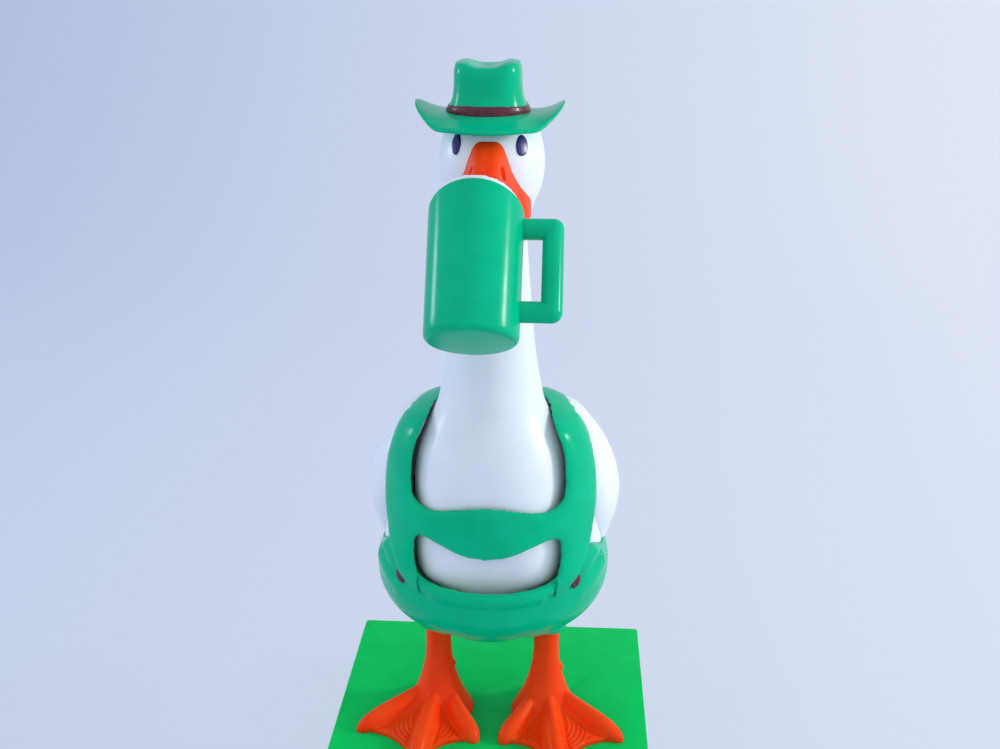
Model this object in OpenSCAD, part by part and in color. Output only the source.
// Swinging goose desk toy.
// The chest, neck and head are one pendulum on a cross axle inside a dressed body, which
// stands on two webbed feet on a square base. The goose faces -Y. The origin is the centre
// of the base's underside. Goose heights are measured from the top of the base.

/* [Base] */
// Side of the square base
base_w = 100; // [90:1:120]
// Height of the base, with its pad
base_h = 18; // [14:1:26]
// Side and top wall of the base box
base_wall = 2.4; // [2:0.1:3.5]
// Radius of the base's upright edges
base_edge_r = 1.2; // [0.4:0.2:4]
// Thickness of the non-slip sheet
pad_t = 1; // [0.6:0.1:2]
// Thickness of the bottom cover
cover_t = 2.4; // [1.6:0.1:3.5]
// Side of the square steel ballast plate
ballast_w = 56; // [40:1:60]
// Thickness of the ballast plate
ballast_t = 5; // [2:0.5:6]

/* [Legs] */
// Distance from the middle to each leg
leg_x = 17.4; // [15:0.2:18]
// Legs ahead of or behind the middle of the base
leg_y = 2.5; // [0:0.5:5]
// Diameter of the shank
leg_d = 8.2; // [7:0.1:9]
// Diameter of the tenon that enters the body
tenon_d = 5; // [4:0.2:5.6]
// Length of the tenon
tenon_h = 7; // [5:0.5:9]
// Length of the longest toe
toe_len = 31; // [24:1:36]
// Width of a toe
toe_w = 7.4; // [5:0.2:8.4]
// Thickness of the web at its front edge
web_t = 1.8; // [1.2:0.1:3]
// How far the web climbs towards the ankle
web_rise = 9; // [6:0.5:11]
// Height from which the leg widens into the foot
ankle_h = 24; // [18:1:26]

/* [Body] */
// Wall of the white body shell
shell_wall = 1.8; // [1.4:0.1:2.4]
// Thickness of the shorts
shorts_t = 2.1; // [1.6:0.1:2.8]
// Thickness of the braces
brace_t = 2.3; // [1.6:0.1:3]
// How far the strap ends stand off the shorts
strap_lap = 1.3; // [0.8:0.1:2]
// Height of the rim of the shorts in front
rim_front = 59.4; // [57:0.1:61]
// Height of the rim of the shorts at the sides
rim_side = 55; // [53:0.5:58]
// Diameter of the hem round each leg
hem_d = 13; // [11:0.5:15]
// Diameter of a brace button
button_d = 4.8; // [3.5:0.1:6]

/* [Swing] */
// Height of the axle
axle_z = 81; // [79:0.5:82]
// Axle ahead of or behind the middle
axle_y = -1.1; // [-2:0.1:0]
// Swing to the back and to the front, in degrees
swing_back = 4; // [2:1:5]
swing_forward = 12; // [8:1:12]
// Middle of the chest behind the middle of the base
chest_y = 0.8; // [0:0.1:1]
// Diameter of the steel axle
axle_d = 4; // [3:0.1:5]
// Length of the axle
axle_len = 60; // [56:1:62]
// Diameter of the bushes outside
bush_d = 6; // [5.4:0.1:7]
// Length of each bush
bush_len = 8; // [5:0.5:10]
// Thickness of the bush flange
flange_t = 0.8; // [0.5:0.1:1.2]
// Radius of the steel counterweight
weight_r = 17.2; // [14:0.1:17.4]
// Height of the counterweight's top
weight_top = 69; // [62:0.5:71]
// Wall of the chest and neck
chest_wall = 1.8; // [1.4:0.1:2.2]
// Height of the joint between the chest and its bowl
bowl_split = 54; // [52:0.5:57]
// Height of the joint between the neck and the head
neck_top = 158; // [154:1:160]
// Depth of the neck's spigot in the head
spigot_h = 5; // [3:0.5:7]

/* [Head] */
// Head and bill to the right of the middle of the neck
head_x = 0.5; // [-1:0.1:1]
// Wall of the head
head_wall = 2; // [1.6:0.1:3]
// Height of the hat's seat on the head
hat_seat = 192; // [191:0.5:193]
// Height of an eye
eye_h = 5.6; // [4:0.2:7]
// Width of an eye
eye_w = 3.8; // [2:0.1:4.5]
// How far an eye stands proud of its pocket's floor
eye_t = 1.6; // [1:0.1:2.5]
// Height of the mouth line
mouth_z = 166.4; // [165:0.2:168]

/* [Hat] */
// Half the width of the brim
brim_x = 20.3; // [17:0.1:23]
// Half the depth of the brim
brim_y = 21; // [18:0.1:24]
// Thickness of the brim
brim_t = 2; // [1.4:0.1:3]
// Height of the top of the crown
crown_top = 207; // [206:0.2:210]
// Depth of the crease along the crown
crease = 1.8; // [0:0.1:3]
// Crown to the left of the middle of the brim
crown_x = -0.5; // [-1:0.1:1]
// Height of the hat band
band_h = 2.6; // [1.6:0.1:3]
// Thickness of the hat band
band_t = 0.5; // [0.3:0.1:1]

/* [Mug] */
// Radius of the mug at its rim
mug_r = 12.3; // [11.6:0.1:12.8]
// Radius of the mug at its foot
foot_r = 12; // [11:0.1:12.6]
// Length of the mug along its axis, to the middle of its rim
mug_len = 33.4; // [30:0.2:36]
// Lean of the mug's axis from upright
mug_lean = 36; // [32:1:42]
// How much the rim is cut on the slant
rim_slant = 23; // [16:1:26]
// Rounding of the mug's foot
mug_round = 1.7; // [1:0.1:3]
// Wall of the mug
mug_wall = 1.7; // [1.2:0.1:2.2]
// Thickness of the foam plug at its middle
foam_t = 7; // [4:0.5:10]
// Height of the foam over the rim
foam_h = 1.9; // [1:0.1:3]
// How far the foam stays inside the rim's outer edge
foam_inset = 0.9; // [0.4:0.1:2]
// Diameter of the handle's bar
handle_d = 5.5; // [4.6:0.1:6]
// Width of the finger gap
handle_gap = 4.7; // [4.7:0.1:8]
// Length of the handle outside
handle_len = 27.6; // [25:0.1:29]
// Height of the middle of the handle along the mug
handle_mid = 19.3; // [15:0.1:19.5]

/* [Fits] */
// Radial running clearance between the axle and its bushes
run_fit = 0.05; // [0.02:0.01:0.1]
// Gap between pieces that are glued or seated together
seat_fit = 0.05; // [0.02:0.01:0.2]
// Gap all round the swinging chest
swing_gap = 1; // [0.8:0.1:1.5]

/* [Hidden] */

$fn = 64;
// Sides of a lofted section, and sections between two of its key rows
loft_n = 32;
loft_steps = 1;
// Sides of a hidden hollow, and of the turned room for the chest
inner_n = 16;
chest_sides = 24;
// Plastic round the axle and round the leg tenons
boss_wall = 3;
socket_wall = 2.5;
// Plastic round a bush in the hub tube
hub_wall = 1.6;
// Side play between a bush's flange and its boss
bush_gap = 0.3;
// Width of a bush's flange
flange_w = 1.2;
flange_r = bush_d / 2 + flange_w;

white = "#f4f6f7";
green = "#00b087";
base_green = "#00bb53";
orange = "#fa4a16";
maroon = "#5d2337";
navy = "#080a4c";
steel = "#b9bdc2";
bush_black = "#1d1e20";
rubber_black = "#26282b";

// Cover and foot screws, and the room round their heads
screw_d = 3;
screw_head_d = 5.6;
screw_head_h = 1.8;
screw_len = 12;
head_room = 0.2;
// Foot screws ahead of the legs, and how deep they and their holes go
foot_screw_y = -4;
foot_grip = 4.6;
foot_hole = 5.2;
// Side of a cover screw's post, and how far it runs into the walls
post_w = 9;
post_bite = 0.5;
// Edge left free round the non-slip sheet
pad_inset = 3;
pad_edge_r = 4;
ballast_edge_r = 3;
// Further out than any piece of the goose
far = 60;

// Body: height, middle in Y, half width, half depth
body_keys = [
    [34.6, 4, 13, 11], [36.4, 4.5, 20.5, 17.5], [39.8, 5, 26.8, 24], [44.4, 6, 31.5, 29],
    [50, 7, 34, 32], [57, 7.5, 34.2, 33], [66, 8.5, 33.8, 33.2], [76, 8.8, 33.2, 32.4],
    [86, 8.5, 32, 30.5], [94, 7.5, 30, 28], [100, 6.3, 27.2, 25], [104, 5.3, 24, 22.6],
    [106.2, 4.6, 20, 19.6], [107.4, 4, 15, 15]
];

// Chest and neck: height, radius
chest_keys = [
    [41, 9], [42.5, 13.5], [46, 17.6], [52, 20.4], [60, 22.2], [68, 22.9], [80, 23], [88, 22.8],
    [93.5, 22], [98.5, 20.7], [103.4, 18.5], [108, 16.4], [112.5, 15.1], [125, 13], [141, 11.5],
    [158, 10.2]
];

// Head: height, middle in Y, half width, half depth
head_keys = [
    [158, 0.8, 10.2, 10.2], [162, 0.2, 10.4, 11], [166.5, -0.4, 11, 13], [170, -0.8, 12.1, 15],
    [174, -1, 13.7, 16.4], [179, -1, 14.4, 17], [184, -1, 14.1, 16.4], [188, -0.8, 13, 15],
    [190.6, -0.6, 11.4, 13], [192, -0.5, 8.8, 10]
];

// Upper bill along -Y: Y, middle height, half width, half height
bill_keys = [
    [-4, 172, 10, 10], [-9, 172.5, 10.6, 14], [-14, 173, 9.8, 15.2], [-18, 173.5, 8.5, 13.3],
    [-23, 174, 7.2, 10.2], [-28.5, 173.6, 7, 8], [-32.2, 172.8, 5.6, 5.6], [-34.2, 172.2, 2.6, 2.6]
];

// Crown of the hat: height over the seat, half width, half depth
crown_keys = [
    [1.4, 11.2, 11.8], [3.4, 10.4, 11], [5.6, 9.5, 10], [9, 9.15, 9.6], [12.4, 9.05, 9.4],
    [14.4, 8.5, 8.8]
];

// Edges of a strap seen from the front: height, distance from the middle
strap_outer = [
    [56.3, 20.8], [57.6, 23.6], [60, 26], [64, 28.4], [68.4, 30.2], [73, 31], [80, 31.9], [88, 31.8],
    [93, 31], [98.3, 29.4], [102.7, 27.2], [107.3, 24], [110.2, 19.8], [110.8, 15]
];
strap_inner = [
    [118, 13.8], [110.4, 15.4], [107.8, 16.6], [106, 18.4], [103, 20.3], [98.6, 22], [94.1, 22.7],
    [87, 22.7], [84.5, 21.6], [83, 19.2], [82.9, 16], [84.2, 10.5], [85.3, 5.2], [85.7, 0]
];
// Edges of a strap seen from the back: height, distance from the middle
back_outer = [
    [118, 13.8], [110.8, 17], [109.4, 20.6], [106, 24.4], [102, 25.9], [96, 25.4], [84, 22.6],
    [70, 19.6], [61, 18.6], [52, 19]
];
back_inner = [[105, 18.2], [96, 17], [84, 14.4], [70, 12.4], [61, 11.8], [52, 12]];
// Lower window between the chest band and the shorts: height, distance from the middle
window_edge = [
    [70.3, 0], [71, 7], [73.2, 14], [74.3, 18.5], [73.4, 21.2], [69.5, 22], [66, 21.8],
    [63.2, 21], [61.2, 19.2], [60.1, 15.5], [59.6, 10], [59.4, 5], [59.4, 0]
];

// Rim of the shorts from the side to the strap: distance from the middle, height over the side's rim
flap_edge = [[37, 0], [35.2, 2], [33.6, 5], [31.8, 7.8], [30, 9.2], [26, 9.2], [22.5, 8]];

// Front toes: angle from +X on the right foot, share of the toe length
goose_toes = [[-34, 0.97], [-81, 1.03], [-124, 0.79]];
// The short toe behind
hallux_angle = 90;
hallux_len = 11;
hallux_high = 13;
// Height of a toe at the ankle and at its tip
toe_high = 12.5;
toe_low = 5;
// Sections along a toe, and the sides of toes and ankles
toe_steps = 6;
toe_n = 9;
ankle_n = 16;
// Depth of the scallop between two toes, as a share of their length
web_scallop = 0.1;
// How much the leg widens down to the ground
ankle_flare = 7.4;
// The ankle's foot ahead of the leg
ankle_lead = 2;
// Where the webs start behind the ankle, and their front edge as a share of the toes' length
web_root = 3;
web_reach = 0.94;
// How far the hems hang below the body
hem_drop = 1.2;
// How far the leg sockets start under the body, and how thick their tops are
socket_drop = 3;
socket_top = 1.5;

// Width and height of the band that joins the straps behind
back_band_w = 7.5;
back_band_z = 87.7;
// Inner side of a strap's end on the shorts, and the height of the window's lower corner over the rim
strap_end_x = 20.6;
strap_notch = 4.3;
// Where a strap's end starts to come closer to the body, over the rim, and over what height
lap_start = 3;
lap_len = 10;
// Front half and back half of the braces meet here
brace_split_y = 4;
// Height of the hems inside the shorts
hem_h = 8;
// Overlap of faces that would otherwise coincide
overlap = 0.01;
// Floor of the chest's bowl, the skin under it and the lip over its joint
bowl_floor = 45;
bowl_skin = 2;
bowl_lip = 3;
// Height between two points of the counterweight's side
weight_step = 3;
// Screw that holds the counterweight to the bowl's floor
weight_screw_d = 4;
weight_head_d = 6.6;
weight_screw_len = 11;
// Sides of the bill's sections
bill_n = 24;
// Power that squares the crown's corners; 1 is an ellipse
crown_box = 0.72;
// How far the brim turns up at the sides and dips in front
curl = 3.4;
dip = 2.4;
// Half the width of the crease
crease_half = 4.6;
// Middle and radius of the right nostril
nostril_pos = [3.7, -22.5, 181.5];
nostril_r = 1;
// Thickness of the lower bill
lip_t = 4;
// The head is solid ahead of this, down to so far under the mouth line, where it carries the bill
head_front_y = -12.5;
bill_root = 8;
// Middle of the right eye
eye_pos = [8.2, -12.3, 186.4];
// Middle of the mug's rim
mug_x = -1.8;
rim_y = -27;
rim_z = 170.4;
handle_bar_r = handle_d / 2;
// How far the handle's ends run into the mug
handle_root = 1.2;
// Sides of the foam
foam_n = 24;

// ---------- helpers ----------

// Point at u on the smooth curve through the rows of a table
function spline(keys, u) =
    let(last = len(keys) - 1, i = min(floor(u), last - 1), t = u - i,
        a = keys[max(i - 1, 0)], b = keys[i], c = keys[i + 1], d = keys[min(i + 2, last)])
    0.5 * (2 * b + (c - a) * t + (2 * a - 5 * b + 4 * c - d) * t * t
        + (3 * b - a - 3 * c + d) * t * t * t);
function smooth_rows(keys, steps) =
    [for (k = [0 : (len(keys) - 1) * steps]) spline(keys, k / steps)];
// Value in column c of a table at height z, straight between its rows
function at_height(rows, z, c = 1) = lookup(z, [for (r = rows) [r[0], r[c]]]);
function swap(points) = [for (p = points) [p[1], p[0]]];
function flip_x(points) = [for (i = [len(points) - 1 : -1 : 0]) [-points[i][0], points[i][1]]];

// Rings of a body of oval sections, grown outwards by t
function oval(z, yc, a, b, n = loft_n) =
    [for (i = [0 : n - 1]) let(t = 360 * i / n) [a * cos(t), yc + b * sin(t), z]];
function oval_rings(keys, t = 0, n = loft_n, steps = loft_steps) =
    let(rows = smooth_rows(keys, steps), last = len(rows) - 1)
    [for (i = [0 : last]) let(r = rows[i], end = i == 0 ? -t : i == last ? t : 0)
        oval(r[0] + end, r[1], r[2] + t, r[3] + t, n)];

// Closed skin over a list of rings that run anticlockwise about the direction of travel
module loft(rings) {
    n = len(rings[0]);
    m = len(rings);
    polyhedron(
        points = [for (r = rings) each r],
        faces = [
            [for (i = [0 : n - 1]) i],
            [for (i = [n - 1 : -1 : 0]) (m - 1) * n + i],
            for (j = [0 : m - 2], i = [0 : n - 1]) [j * n + i, (j + 1) * n + i, (j + 1) * n + (i + 1) % n],
            for (j = [0 : m - 2], i = [0 : n - 1]) [j * n + i, (j + 1) * n + (i + 1) % n, j * n + (i + 1) % n]
        ]
    );
}

// One smooth moulding out of lofted forms
module moulded() {
    resize([0, 0, 0]) children();
}

// Everything above the base
module on_base() {
    translate([0, 0, base_h]) children();
}

module mirrored_pair() {
    children();
    mirror([1, 0, 0]) children();
}

// Extrudes an outline drawn in X and Z from y0 to y1
module across(y0, y1) {
    translate([0, y1, 0]) rotate([90, 0, 0]) linear_extrude(height = y1 - y0) children();
}

// All between the heights z0 and z1
module slab(z0, z1) {
    translate([-far, -far, z0]) cube([2 * far, 2 * far, z1 - z0]);
}

module rod(r, length) {
    rotate([0, 90, 0]) cylinder(r = r, h = length, center = true);
}

module rounded_square(side, r) {
    for (turn = [0, 90]) rotate(turn) square([side, side - 2 * r], center = true);
    for (sx = [-1, 1], sy = [-1, 1]) translate([sx, sy] * (side / 2 - r)) circle(r = r);
}

// ---------- base ----------

corner = base_w / 2 - base_wall + post_bite - post_w / 2;
box_floor = pad_t + cover_t;
plate_z = base_h - base_wall;

module at_corners() {
    for (sx = [-1, 1], sy = [-1, 1]) translate([sx * corner, sy * corner, 0]) children();
}

module at_feet() {
    for (sx = [-1, 1]) translate([sx * leg_x, leg_y + foot_screw_y, 0]) children();
}

// Square box, open below, with a post for each cover screw
module base_box() color(base_green) difference() {
    translate([0, 0, pad_t]) linear_extrude(height = base_h - pad_t)
        rounded_square(base_w, base_edge_r);
    translate([0, 0, -1]) linear_extrude(height = plate_z + 1) difference() {
        square(base_w - 2 * base_wall, center = true);
        for (sx = [-1, 1], sy = [-1, 1]) translate([sx, sy] * corner) square(post_w, center = true);
    }
    translate([0, 0, -1]) linear_extrude(height = box_floor + seat_fit + 1)
        square(base_w - 2 * base_wall, center = true);
    at_corners() cylinder(d = screw_d, h = pad_t + screw_len);
    at_feet() translate([0, 0, plate_z - 1]) cylinder(d = screw_d + 2 * seat_fit, h = base_wall + 2);
}

module base_cover() color(base_green) difference() {
    translate([0, 0, pad_t]) linear_extrude(height = cover_t)
        square(base_w - 2 * base_wall - 2 * seat_fit, center = true);
    at_corners() {
        cylinder(d = screw_d + 2 * seat_fit, h = base_h);
        cylinder(d = screw_head_d + 2 * head_room, h = pad_t + screw_head_h);
    }
}

module base_pad() color(rubber_black)
    linear_extrude(height = pad_t) rounded_square(base_w - 2 * pad_inset, pad_edge_r);

module base_ballast() color(steel)
    translate([0, 0, box_floor]) linear_extrude(height = ballast_t) rounded_square(ballast_w, ballast_edge_r);

// A pan-head screw that points up, with its head's underside at z = 0
module screw(length, tip = 1) {
    translate([0, 0, -screw_head_h]) cylinder(d = screw_head_d, h = screw_head_h);
    cylinder(d = screw_d - 2 * seat_fit, h = length - tip);
    translate([0, 0, length - tip]) cylinder(d1 = screw_d - 2 * seat_fit, d2 = 1, h = tip);
}

module cover_screws() color(steel)
    at_corners() translate([0, 0, pad_t + screw_head_h]) screw(screw_len - screw_head_h - 0.5);

module foot_screws() color(steel)
    at_feet() translate([0, 0, plate_z]) screw(base_wall + foot_grip);

// ---------- legs and feet ----------

// A round-ended toe along +X that lies half in the ground
module toe(length, width, high, low) {
    loft([for (k = [0 : toe_steps]) toe_ring(k / toe_steps, length, width, high, low)]);
}

function toe_ring(u, length, width, high, low) =
    let(blunt = sqrt(max(0.12, 1 - pow(u, 7))), w = width / 2 * (0.8 + 0.2 * pow(u, 1.5)) * blunt,
        top = lerp(high, low, pow(u, 0.7)) * blunt)
    [for (i = [0 : toe_n - 1]) let(a = 360 * i / toe_n)
        [length * u, w * cos(a), top * (0.25 + 0.75 * sin(a))]];

function toe_tip(k) = let(t = goose_toes[k]) toe_len * t[1] * [cos(t[0]), sin(t[0])];
// Scalloped front edge of the web between toe k and toe k + 1
function web_edge(k) = [
    for (u = [0 : 0.2 : 1]) let(p = toe_tip(k) * (1 - u) + toe_tip(k + 1) * u)
        p * (web_reach - web_scallop * sin(180 * u))
];

// Web outline drawn in to share s of its size and raised to height z
function web_ring(s, z) =
    [for (p = reversed(concat([[0, web_root]], web_edge(0), web_edge(1)))) [p[0] * s, p[1] * s, z]];

// The web slopes down from the ankle to its front edge
module web() {
    loft(concat([web_ring(1, -1)],
        [for (s = [1, 0.75, 0.5, 0.28]) web_ring(s, web_t + web_rise * pow(1 - s, 1.6))]));
}

// Section of the ankle at share u of its height
function ankle_ring(u) = let(r = leg_d / 2 + ankle_flare * pow(1 - u, 2))
    [for (i = [0 : ankle_n - 1]) let(a = 360 * i / ankle_n)
        [r * cos(a), r * sin(a) - ankle_lead * (1 - u), ankle_h * u]];

module right_foot_form() difference() {
    union() {
        for (t = goose_toes) rotate([0, 0, t[0]]) toe(toe_len * t[1], toe_w, toe_high, toe_low);
        rotate([0, 0, hallux_angle]) toe(hallux_len, toe_w * 0.75, hallux_high, toe_low);
        web();
        loft([for (k = [0 : 5]) ankle_ring(k / 5)]);
    }
    translate([0, 0, -base_w / 2]) cube(base_w, center = true);
}

hem_z = body_keys[0][0] - shorts_t - hem_drop;
shank_top = hem_z + 1;

module foot_and_leg() on_base() difference() {
    translate([leg_x, leg_y, 0]) {
        moulded() right_foot_form();
        translate([0, 0, ankle_h]) cylinder(d = leg_d, h = shank_top - ankle_h);
        cylinder(d = tenon_d, h = shank_top + tenon_h);
    }
    translate([leg_x, leg_y + foot_screw_y, -1]) cylinder(d = screw_d, h = 1 + foot_hole);
}

module right_foot() color(orange) foot_and_leg();
module left_foot() color(orange) mirror([1, 0, 0]) foot_and_leg();

// ---------- body ----------

// Body grown outwards by t
module body_form(t = 0) {
    loft(oval_rings(body_keys, t));
}

// The coarser inside of the body, t below its surface
module body_inside(t) {
    loft(oval_rings(body_keys, -t, inner_n, 1));
}

// Chest outline in X and Z, grown by t, with the neck's sides carried straight up
function chest_side(t) = let(rows = smooth_rows(chest_keys, 1), last = rows[len(rows) - 1])
    concat([for (r = rows) [r[1] + t, r[0] - t]], [[last[1] + t, last[0] + 2 * t]]);

module chest_outline(t) {
    side = chest_side(t);
    polygon(concat(side, flip_x(side)));
}

// The chest and neck as one turned form, grown by t
module chest_turned(t) {
    side = chest_side(t);
    translate([0, chest_y, 0]) rotate_extrude($fn = chest_sides)
        polygon(concat([[0, side[0][1]]], side, [[0, side[len(side) - 1][1]]]));
}

module tilted(angle) {
    translate([0, axle_y, axle_z]) rotate([angle, 0, 0]) translate([0, -axle_y, -axle_z]) children();
}

// Room for the chest and neck from the back of the swing to the front
module swing_room() {
    tilted(-swing_back / 2) chest_turned(2 * swing_gap);
    across(-base_w, axle_y) chest_outline(2 * swing_gap);
}

// Hollow body with the axle's bosses and the leg sockets inside
module body_solid() {
    difference() {
        body_form();
        body_inside(shell_wall);
    }
    intersection() {
        body_form(-shell_wall / 2);
        union() {
            translate([0, axle_y, axle_z]) rod(axle_d / 2 + boss_wall, base_w);
            mirrored_pair() translate([leg_x, leg_y, body_keys[0][0] - socket_drop])
                cylinder(r = tenon_d / 2 + socket_wall, h = tenon_h + socket_top);
        }
    }
}

module body_shell() color(white) on_base() difference() {
    moulded() difference() {
        body_solid();
        swing_room();
    }
    translate([0, axle_y, axle_z]) {
        rod(axle_d / 2 + seat_fit, base_w);
        rod(axle_d / 2 + boss_wall + 0.2, 2 * (hub_end + flange_t + bush_gap));
    }
    mirrored_pair() translate([leg_x, leg_y, 0])
        cylinder(d = tenon_d + 2 * seat_fit, h = shank_top + tenon_h + 4 * seat_fit);
}

module axle() color(steel) on_base()
    translate([0, axle_y, axle_z]) rod(axle_d / 2, axle_len);

// Sides of a wing's or the tail's sections
wing_n = 20;
// Wing: height, middle in X, middle in Y, half width, half depth
wing_keys = [
    [54.5, 29, 22, 3.6, 8], [56.8, 29, 20.5, 6.4, 12.2], [60, 29, 19, 7.8, 14.4],
    [63.4, 29, 18, 8.5, 15.5], [68, 29, 16.5, 9.7, 17], [76, 29, 14, 10.4, 18],
    [84.5, 28.4, 12, 9.6, 17], [92.5, 26.7, 11, 8, 15], [98.5, 24.4, 10.5, 6.2, 12.5],
    [102.6, 22.8, 10.2, 4.6, 9.6], [105.6, 21.4, 10, 2.2, 5]
];

module wing() on_base() moulded() difference() {
    loft([for (r = smooth_rows(wing_keys, loft_steps))
        [for (i = [0 : wing_n - 1]) let(t = 360 * i / wing_n)
            [r[1] + r[3] * cos(t), r[2] + r[4] * sin(t), r[0]]]]);
    body_form(seat_fit);
    braces_form(2 * seat_fit);
    shorts_form();
}

module right_wing() color(white) wing();
module left_wing() color(white) mirror([1, 0, 0]) wing();

// Tail along +Y: Y, middle height, half width, half height
tail_keys = [
    [34, 70, 10.5, 6.5], [40, 71.5, 10, 5.6], [46, 74, 8.2, 4], [51, 77, 5.4, 2.4],
    [53.5, 78.8, 2.6, 1.1]
];

module tail() color(white) on_base() moulded() difference() {
    loft([for (r = smooth_rows(tail_keys, loft_steps))
        [for (i = [0 : wing_n - 1]) let(t = 360 * i / wing_n)
            [r[2] * sin(t), r[0], r[1] + r[3] * cos(t)]]]);
    body_form(seat_fit);
    shorts_form();
}

// ---------- shorts and braces ----------

// Lower half of the window's edge, which is the rim of the shorts in front
window_last = window_edge[len(window_edge) - 1][0];
window_low = [for (p = window_edge) if (p[0] < window_last + strap_notch)
    [p[1] + overlap, p[0] + rim_front - window_last]];

// Front view of the shorts: all that lies under the rim, which rises to a flap beside each strap
module shorts_outline() {
    flap = [for (p = flap_edge) [p[0], rim_side + p[1]]];
    edge = concat([[base_w, 0], [base_w, rim_side]], flap, window_low);
    polygon(concat(edge, flip_x(edge)));
}

module shorts_form() {
    intersection() {
        union() {
            body_form(shorts_t);
            mirrored_pair() translate([leg_x, leg_y, hem_z]) cylinder(d = hem_d, h = hem_h, $fn = 32);
        }
        across(-far, far) shorts_outline();
    }
}

module shorts() color(green) on_base() difference() {
    moulded() difference() {
        shorts_form();
        body_form(seat_fit);
        button_seats();
    }
    mirrored_pair() translate([leg_x, leg_y, 0]) {
        cylinder(d = leg_d + 2 * seat_fit, h = shank_top);
        cylinder(d = tenon_d + 2 * seat_fit, h = shank_top + tenon_h);
    }
}

strap_out_rows = smooth_rows(strap_outer, 2);
strap_in_rows = smooth_rows(strap_inner, 2);
window_rows = smooth_rows(window_edge, 2);

module front_outline() {
    difference() {
        polygon(concat(swap(strap_out_rows), flip_x(swap(strap_out_rows))));
        polygon(concat(swap(strap_in_rows), flip_x(swap(strap_in_rows))));
        polygon(concat(swap(window_rows), flip_x(swap(window_rows))));
        translate([-strap_end_x, 0]) square([2 * strap_end_x, rim_front + strap_notch - 1.2]);
    }
}

// Two straps down the back and a cross band
module back_outline() {
    mirrored_pair() polygon(swap(concat(back_outer, reversed(back_inner))));
    translate([0, back_band_z]) square([2 * leg_x, back_band_w], center = true);
}

// Braces out to their outer face, which steps out where the straps lap over the shorts
module braces_form(grow = 0) {
    top = body_keys[len(body_keys) - 1][0];
    lap = [for (r = smooth_rows(body_keys, loft_steps))
        let(rise = min(1, max(0, (r[0] - rim_front - lap_start) / lap_len)),
            t = grow + brace_t + strap_lap * (1 - rise), end = r[0] == top ? t : 0)
        oval(r[0] + end, r[1], r[2] + t, r[3] + t)];
    intersection() {
        loft(lap);
        union() {
            across(-far, brace_split_y) front_outline();
            across(brace_split_y, far) back_outline();
        }
    }
}

module braces() color(green) on_base() moulded() difference() {
    braces_form();
    button_seats();
    body_form(seat_fit);
    intersection() {
        body_form(shorts_t + seat_fit);
        across(-far, far) shorts_outline();
    }
    for (angle = [-swing_back, swing_forward / 2, swing_forward]) tilted(angle) chest_turned(swing_gap / 2);
}

button_pos = [25.7, -19.2, 59];
// Turn of a button about the upright axis, how deep it is seated, and the height of its dome
button_turn = 40;
button_sunk = 1.4;
button_dome = 0.8;

module at_button() translate(button_pos) rotate([0, 0, button_turn]) rotate([90, 0, 0]) children();

module button_form() on_base() at_button() rotate_extrude() polygon(concat(
    [[0, -button_sunk], [button_d / 2, -button_sunk]],
    [for (t = [0 : 15 : 90]) [button_d / 2 * cos(t), 0.1 + button_dome * sin(t)]]));

// Round seats for the buttons
module button_seats() mirrored_pair() at_button() translate([0, 0, -button_sunk - seat_fit])
    cylinder(r = button_d / 2 + seat_fit, h = button_d, $fn = 32);

module right_button() color(maroon) button_form();
module left_button() color(maroon) mirror([1, 0, 0]) button_form();

// ---------- chest, neck and balance ----------

chest_rows = smooth_rows(chest_keys, 3);
bowl_r = at_height(chest_rows, bowl_split);
// Distance from the middle to the ends of the hub tube, where the bush flanges sit
hub_short = 0.4;
hub_end = at_height(chest_rows, axle_z) - 0.5;

function outer_side(z0, z1) = concat([[at_height(chest_rows, z0), z0]],
    [for (r = chest_rows) if (r[0] > z0 && r[0] < z1) [r[1], r[0]]], [[at_height(chest_rows, z1), z1]]);
function inner_side(z0, z1) = [for (p = outer_side(z0, z1)) [p[0] - chest_wall, p[1]]];
function reversed(list) = [for (i = [len(list) - 1 : -1 : 0]) list[i]];

spigot_r = at_height(chest_rows, neck_top) - chest_wall - seat_fit;

// Upper shell, open below, with a hub tube for the axle and a spigot for the head
module chest_neck() color(white) on_base() difference() {
    union() {
        translate([0, chest_y, 0]) rotate_extrude() polygon(concat(
            outer_side(bowl_split, neck_top),
            [[spigot_r, neck_top], [spigot_r, neck_top + spigot_h],
             [spigot_r - chest_wall, neck_top + spigot_h], [spigot_r - chest_wall, neck_top - 4]],
            reversed(inner_side(bowl_split, neck_top - 6))));
        translate([0, axle_y, axle_z]) rod(bush_d / 2 + hub_wall, 2 * (hub_end - hub_short));
    }
    translate([0, axle_y, axle_z]) {
        rod(bush_d / 2 + seat_fit, base_w);
        mirrored_pair() translate([hub_end, 0, 0]) rotate([0, 90, 0])
            cylinder(r = flange_r + seat_fit, h = bush_len);
    }
}

module chest_bowl() color(white) on_base() translate([0, chest_y, 0]) difference() {
    rotate_extrude() polygon(concat(
        [[0, chest_keys[0][0]]],
        outer_side(chest_keys[0][0], bowl_split - seat_fit),
        [[bowl_r - chest_wall - seat_fit, bowl_split - seat_fit],
         [bowl_r - chest_wall - seat_fit, bowl_split + bowl_lip],
         [bowl_r - 2 * chest_wall, bowl_split + bowl_lip],
         [bowl_r - 2 * chest_wall, bowl_split - 2]],
        reversed(inner_side(bowl_floor + 1, bowl_split - bowl_lip)),
        [[at_height(chest_rows, bowl_floor) - chest_wall, bowl_floor], [0, bowl_floor]]));
    cylinder(d = weight_screw_d + 2 * seat_fit, h = bowl_floor + 1);
    cylinder(d = weight_head_d + 2 * head_room, h = bowl_floor - bowl_skin);
}

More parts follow.
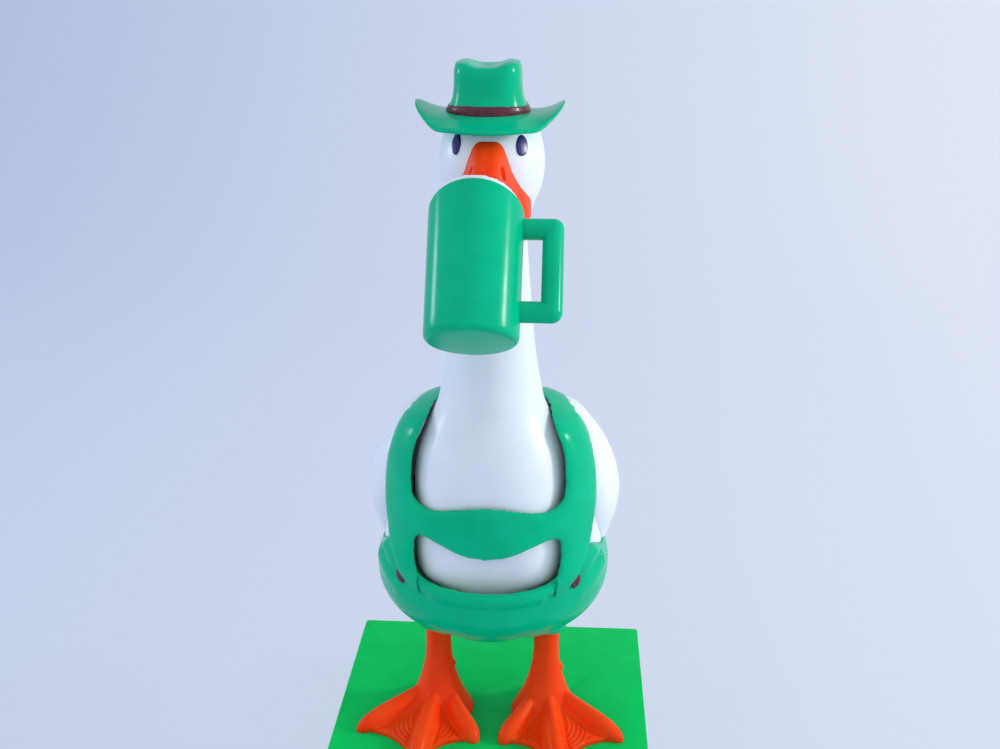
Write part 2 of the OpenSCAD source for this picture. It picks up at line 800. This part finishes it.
// Turned weight that clears the chest's wall, and the bowl's lip on its way in
function weight_side(z) =
    let(room = z < bowl_split + bowl_lip + weight_step ? min(at_height(chest_rows, z), bowl_r)
        : at_height(chest_rows, z))
    min(weight_r, room - 2 * chest_wall - 6 * seat_fit);
module counterweight() color(steel) on_base() translate([0, chest_y, 0]) difference() {
    rotate_extrude() polygon(concat([[0, bowl_floor]],
        [for (z = [bowl_floor : weight_step : weight_top - 2]) [weight_side(z), z]],
        [[weight_r, weight_top - 1], [weight_r - 1, weight_top], [0, weight_top]]));
    translate([0, 0, bowl_floor - 1]) cylinder(d = weight_screw_d, h = weight_screw_len);
}

module weight_screw() color(steel) on_base() translate([0, chest_y, bowl_floor - bowl_skin]) {
    translate([0, 0, -screw_head_h]) cylinder(d = weight_head_d, h = screw_head_h);
    cylinder(d = weight_screw_d - 2 * seat_fit, h = weight_screw_len);
}

// Flanged bush at the right end of the hub tube
module bush() on_base() translate([0, axle_y, axle_z]) {
    translate([hub_end, 0, 0]) rotate([0, 90, 0]) difference() {
        union() {
            translate([0, 0, -bush_len]) cylinder(d = bush_d, h = bush_len);
            cylinder(r = flange_r, h = flange_t);
        }
        translate([0, 0, -2 * bush_len]) cylinder(r = axle_d / 2 + run_fit, h = 4 * bush_len);
    }
}

module right_bush() color(bush_black) bush();
module left_bush() color(bush_black) mirror([1, 0, 0]) bush();

// ---------- head ----------

module head_form(t = 0) {
    loft([for (r = oval_rings(head_keys, t, steps = 2))
        [for (p = r) p + [p[2] > head_keys[1][0] + t ? head_x : 0, 0, 0]]]);
}

module head_inside(t) {
    translate([head_x, 0, 0]) loft(oval_rings(head_keys, -t, inner_n, 1));
}

// How much a bill section is drawn in at a sine of the angle: a narrow ridge above, a wide lip below
function bill_taper(s) = s > 0 ? 0.65 + 0.35 * pow(1 - s, 2) : 1 - 0.34 * s;
function bill_ring(r, t) =
    [for (i = [0 : bill_n - 1]) let(a = 360 * i / bill_n, w = (r[2] + t) * bill_taper(sin(a)))
        [head_x - w * cos(a), r[0], r[1] + (r[3] + t) * sin(a)]];

module bill_form(t = 0) {
    tip = bill_keys[len(bill_keys) - 1];
    loft(concat([bill_ring(tip - [t + overlap, 0, 0, 0], t)],
        [for (r = reversed(smooth_rows(bill_keys, 2))) bill_ring(r, t)]));
}

module eye_form(t = 0, depth = 6) translate(eye_pos) rotate([0, 0, 33]) rotate([90, 0, 0])
    translate([0, 0, -depth]) linear_extrude(height = depth + eye_t) offset(delta = t) hull() {
        translate([0, -eye_h * 0.14]) scale([eye_w / 2, eye_h * 0.36]) circle(r = 1, $fn = 24);
        translate([0.2, eye_h * 0.38]) circle(r = eye_w / 5, $fn = 14);
    }

module head() color(white) on_base() difference() {
    moulded() difference() {
        head_form();
        difference() {
            head_inside(head_wall);
            translate([-far, -far, mouth_z - bill_root]) cube([2 * far, far + head_front_y, far]);
        }
        translate([head_x, 0, 0]) mirrored_pair() eye_form(seat_fit, 1.6);
    }
    translate([0, chest_y, neck_top - 1]) cylinder(r = spigot_r + seat_fit, h = spigot_h + 1.2);
}

module eye(side) on_base() moulded() intersection() {
    translate([head_x, 0, 0]) mirror([side, 0, 0]) eye_form(0, 1.5);
    head_form(0.5);
}
module right_eye() color(navy) eye(0);
module left_eye() color(navy) eye(1);

module upper_bill() color(orange) on_base() moulded() difference() {
    bill_form();
    head_form(seat_fit);
    slab(0, mouth_z);
    translate([head_x, 0, 0]) mirrored_pair() translate(nostril_pos) rotate([14, 0, -8])
        scale([1, 3, 1]) sphere(r = nostril_r, $fn = 12);
}

module lower_bill() color(orange) on_base() moulded() difference() {
    intersection() {
        bill_form(-1);
        slab(mouth_z - lip_t, mouth_z - seat_fit);
    }
    head_form(seat_fit);
    mug_space();
}

// ---------- hat ----------

function lerp(a, b, t) = a + (b - a) * t;
// Height of the brim's top over the seat at angle a and share s of its width
function brim_rise(a, s) = crown_keys[0][0] + curl * pow(s, 2.6) * pow(abs(cos(a)), 3.5)
    - dip * s * pow(abs(sin(a)), 1.5);
function brim_point(a, s, drop) =
    [lerp(crown_keys[0][1], brim_x, s) * cos(a), lerp(crown_keys[0][2], brim_y, s) * sin(a),
     hat_seat + brim_rise(a, s) - drop * (1 - 0.4 * s)];
// How far the crease lowers the crown at x
function crease_at(x) = crease * exp(-pow(x / crease_half, 4));

hat_angles = [for (i = [0 : loft_n - 1]) 360 * i / loft_n];
crown_rows = smooth_rows(crown_keys, 2);

// The crown is a rounded box, so its corners stand out from the ellipse
function boxy(c) = sign(c) * pow(abs(c), crown_box);
function crown_at(wide, deep, a) = [wide * boxy(cos(a)), deep * boxy(sin(a))];
// The crown is round at its foot and boxy from the band upwards
function crown_section(r, a, grow = 0) = let(k = min(1, (r[0] - crown_keys[0][0]) / 4))
    lerp([(r[1] + grow) * cos(a), (r[2] + grow) * sin(a)], crown_at(r[1] + grow, r[2] + grow, a), k);
function crown_ring(r) = [for (a = hat_angles) let(p = crown_section(r, a), top = max(0, r[0] - 10.5) / 3.7)
    [crown_x + p[0], p[1], hat_seat + r[0] - 0.6 * crease_at(p[0]) * top]];
function crown_top_ring(s) = let(last = crown_keys[len(crown_keys) - 1])
    [for (a = hat_angles) let(p = crown_at(last[1], last[2], a) * s)
        [crown_x + p[0], p[1], crown_top - 0.8 * pow(s, 6) - crease_at(p[0]) * (1 - 0.4 * s)]];

module hat() color(green) on_base() moulded() loft(concat(
    [[for (a = hat_angles) [6 * cos(a), 6 * sin(a), hat_seat]]],
    [[for (a = hat_angles) [crown_keys[0][1] * cos(a), crown_keys[0][2] * sin(a), hat_seat]]],
    [for (s = [0.4, 0.75, 0.95]) [for (a = hat_angles) brim_point(a, s, brim_t)]],
    [[for (a = hat_angles) brim_point(a, 1, brim_t * 0.5)]],
    [for (s = [0.95, 0.7, 0.35]) [for (a = hat_angles) brim_point(a, s, 0)]],
    [for (r = crown_rows) crown_ring(r)],
    [for (s = [0.86, 0.66, 0.36]) crown_top_ring(s)]
));

// Ring of the band at height z over the seat, grown by t, with the crown's own corners
function band_ring(z, t) = let(r = [z, at_height(crown_rows, z), at_height(crown_rows, z, 2)])
    [for (a = hat_angles) let(p = crown_section(r, a, t)) [crown_x + p[0], p[1], hat_seat + z]];

// The band's outer side in one sweep, and the crown inside it
module hat_band() color(maroon) on_base() moulded() difference() {
    low = crown_rows[0][0] + 2 * seat_fit;
    loft([for (z = [low, low + band_h]) band_ring(z, band_t)]);
    loft([for (k = [-1 : 4]) let(r = crown_rows[max(k, 0)])
        [for (p = band_ring(r[0], seat_fit)) p + [0, 0, min(k, 0)]]]);
}

// ---------- mug ----------

// From the mug's own axis to the goose
module in_mug() translate([mug_x, rim_y, rim_z]) rotate([-mug_lean, 0, 0]) translate([0, 0, -mug_len])
    children();

// All that lies above the slanted rim, raised by t
module above_rim(t = 0) translate([0, 0, mug_len]) rotate([-rim_slant, 0, 0]) translate([-40, -40, t])
    cube([80, 80, 60]);

module mug_space() in_mug() translate([0, 0, -1]) cylinder(r = mug_r + 6 * seat_fit, h = 2 * mug_len);

module handle() {
    x_out = mug_r + handle_gap + handle_bar_r;
    for (s = [-1, 1]) {
        z_bar = handle_mid + s * (handle_len / 2 - handle_bar_r);
        translate([mug_r - handle_root, 0, z_bar]) rotate([0, 90, 0])
            cylinder(r = handle_bar_r, h = x_out - mug_r + handle_root);
        translate([x_out, 0, z_bar]) sphere(r = handle_bar_r);
    }
    translate([x_out, 0, handle_mid - handle_len / 2 + handle_bar_r])
        cylinder(r = handle_bar_r, h = handle_len - 2 * handle_bar_r);
}

module mug() color(green) on_base() in_mug() difference() {
    union() {
        rotate_extrude() polygon(concat([[0, 0]],
            [for (t = [-90 : 15 : 0]) [foot_r, 0] + mug_round * [cos(t) - 1, sin(t) + 1]],
            [[mug_r, mug_len], [mug_r, 2 * mug_len], [0, 2 * mug_len]]));
        handle();
    }
    translate([0, 0, mug_wall]) cylinder(r = foot_r - mug_wall, h = 2 * mug_len);
    above_rim();
}

// Slab along the slanted rim, from height z0 to z1 over it
module rim_slab(z0, z1) translate([0, 0, mug_len]) rotate([-rim_slant, 0, 0]) translate([0, 0, z0])
    cylinder(r = 3 * mug_r, h = z1 - z0);

// Plug in the mug's mouth, and a head of foam that rests on the rim
module foam() color(white) on_base() moulded() difference() {
    in_mug() {
        intersection() {
            cylinder(r = foot_r - mug_wall - seat_fit, h = 2 * mug_len, $fn = foam_n);
            rim_slab(-foam_t, 1);
        }
        intersection() {
            cylinder(r = mug_r - foam_inset, h = 2 * mug_len, $fn = foam_n);
            rim_slab(seat_fit, foam_h);
        }
    }
    bill_form(seat_fit);
    head_form(seat_fit);
}

base_box();
base_cover();
base_pad();
base_ballast();
cover_screws();
left_foot();
right_foot();
foot_screws();
body_shell();
left_wing();
right_wing();
tail();
axle();
shorts();
braces();
left_button();
right_button();
chest_neck();
chest_bowl();
counterweight();
weight_screw();
left_bush();
right_bush();
head();
upper_bill();
lower_bill();
left_eye();
right_eye();
hat();
hat_band();
mug();
foam();
